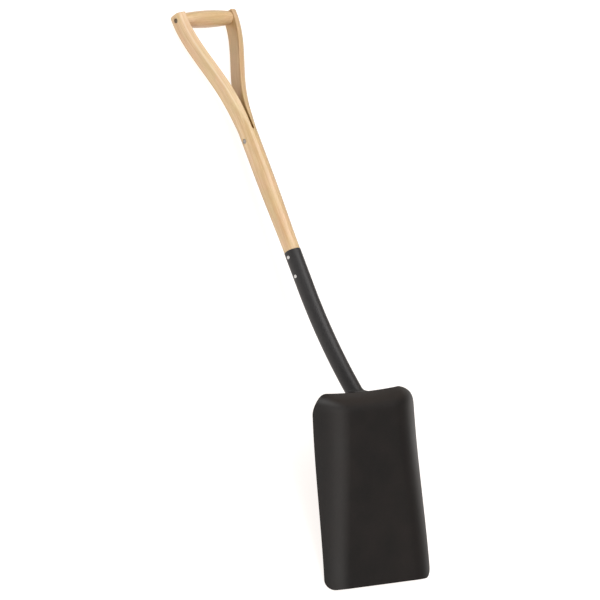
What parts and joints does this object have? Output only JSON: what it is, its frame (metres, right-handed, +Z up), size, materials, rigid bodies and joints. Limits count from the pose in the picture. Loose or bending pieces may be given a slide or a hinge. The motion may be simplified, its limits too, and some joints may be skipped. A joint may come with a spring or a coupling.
{
  "type": "grain scoop shovel",
  "caption": "Long-handled scoop shovel: dished steel pan welded to a bent tube socket, wooden shaft split into a Y-shaped hand grip with a crossbar.",
  "frame": {"origin": "on the floor, in the middle of the footprint of the shovel as it lies hollow side down", "axes": "+X across the pan, +Y from the mouth of the pan to the grip, +Z up, towards the back of the pan; the shovel rests on the two mouth corners and the crossbar"},
  "size_m": [0.2672, 1.1484, 0.1273],
  "materials": {
    "black_paint": "satin black powder paint",
    "weld_paint": "satin black powder paint over a rippled weld",
    "shaft_wood": "clear-varnished pale hardwood",
    "crossbar_wood": "clear-varnished pale hardwood, turned",
    "rivet_steel": "bright zinc-plated steel"
  },
  "bodies": {
    "root": {"blade": "black_paint", "socket_tube": "black_paint", "weld_beads": "weld_paint", "handle_shaft": "shaft_wood", "crossbar": "crossbar_wood", "grip_rivet": "rivet_steel", "throat_rivet": "rivet_steel", "socket_rivet_upper": "rivet_steel", "socket_rivet_lower": "rivet_steel"}
  },
  "joints": []
}
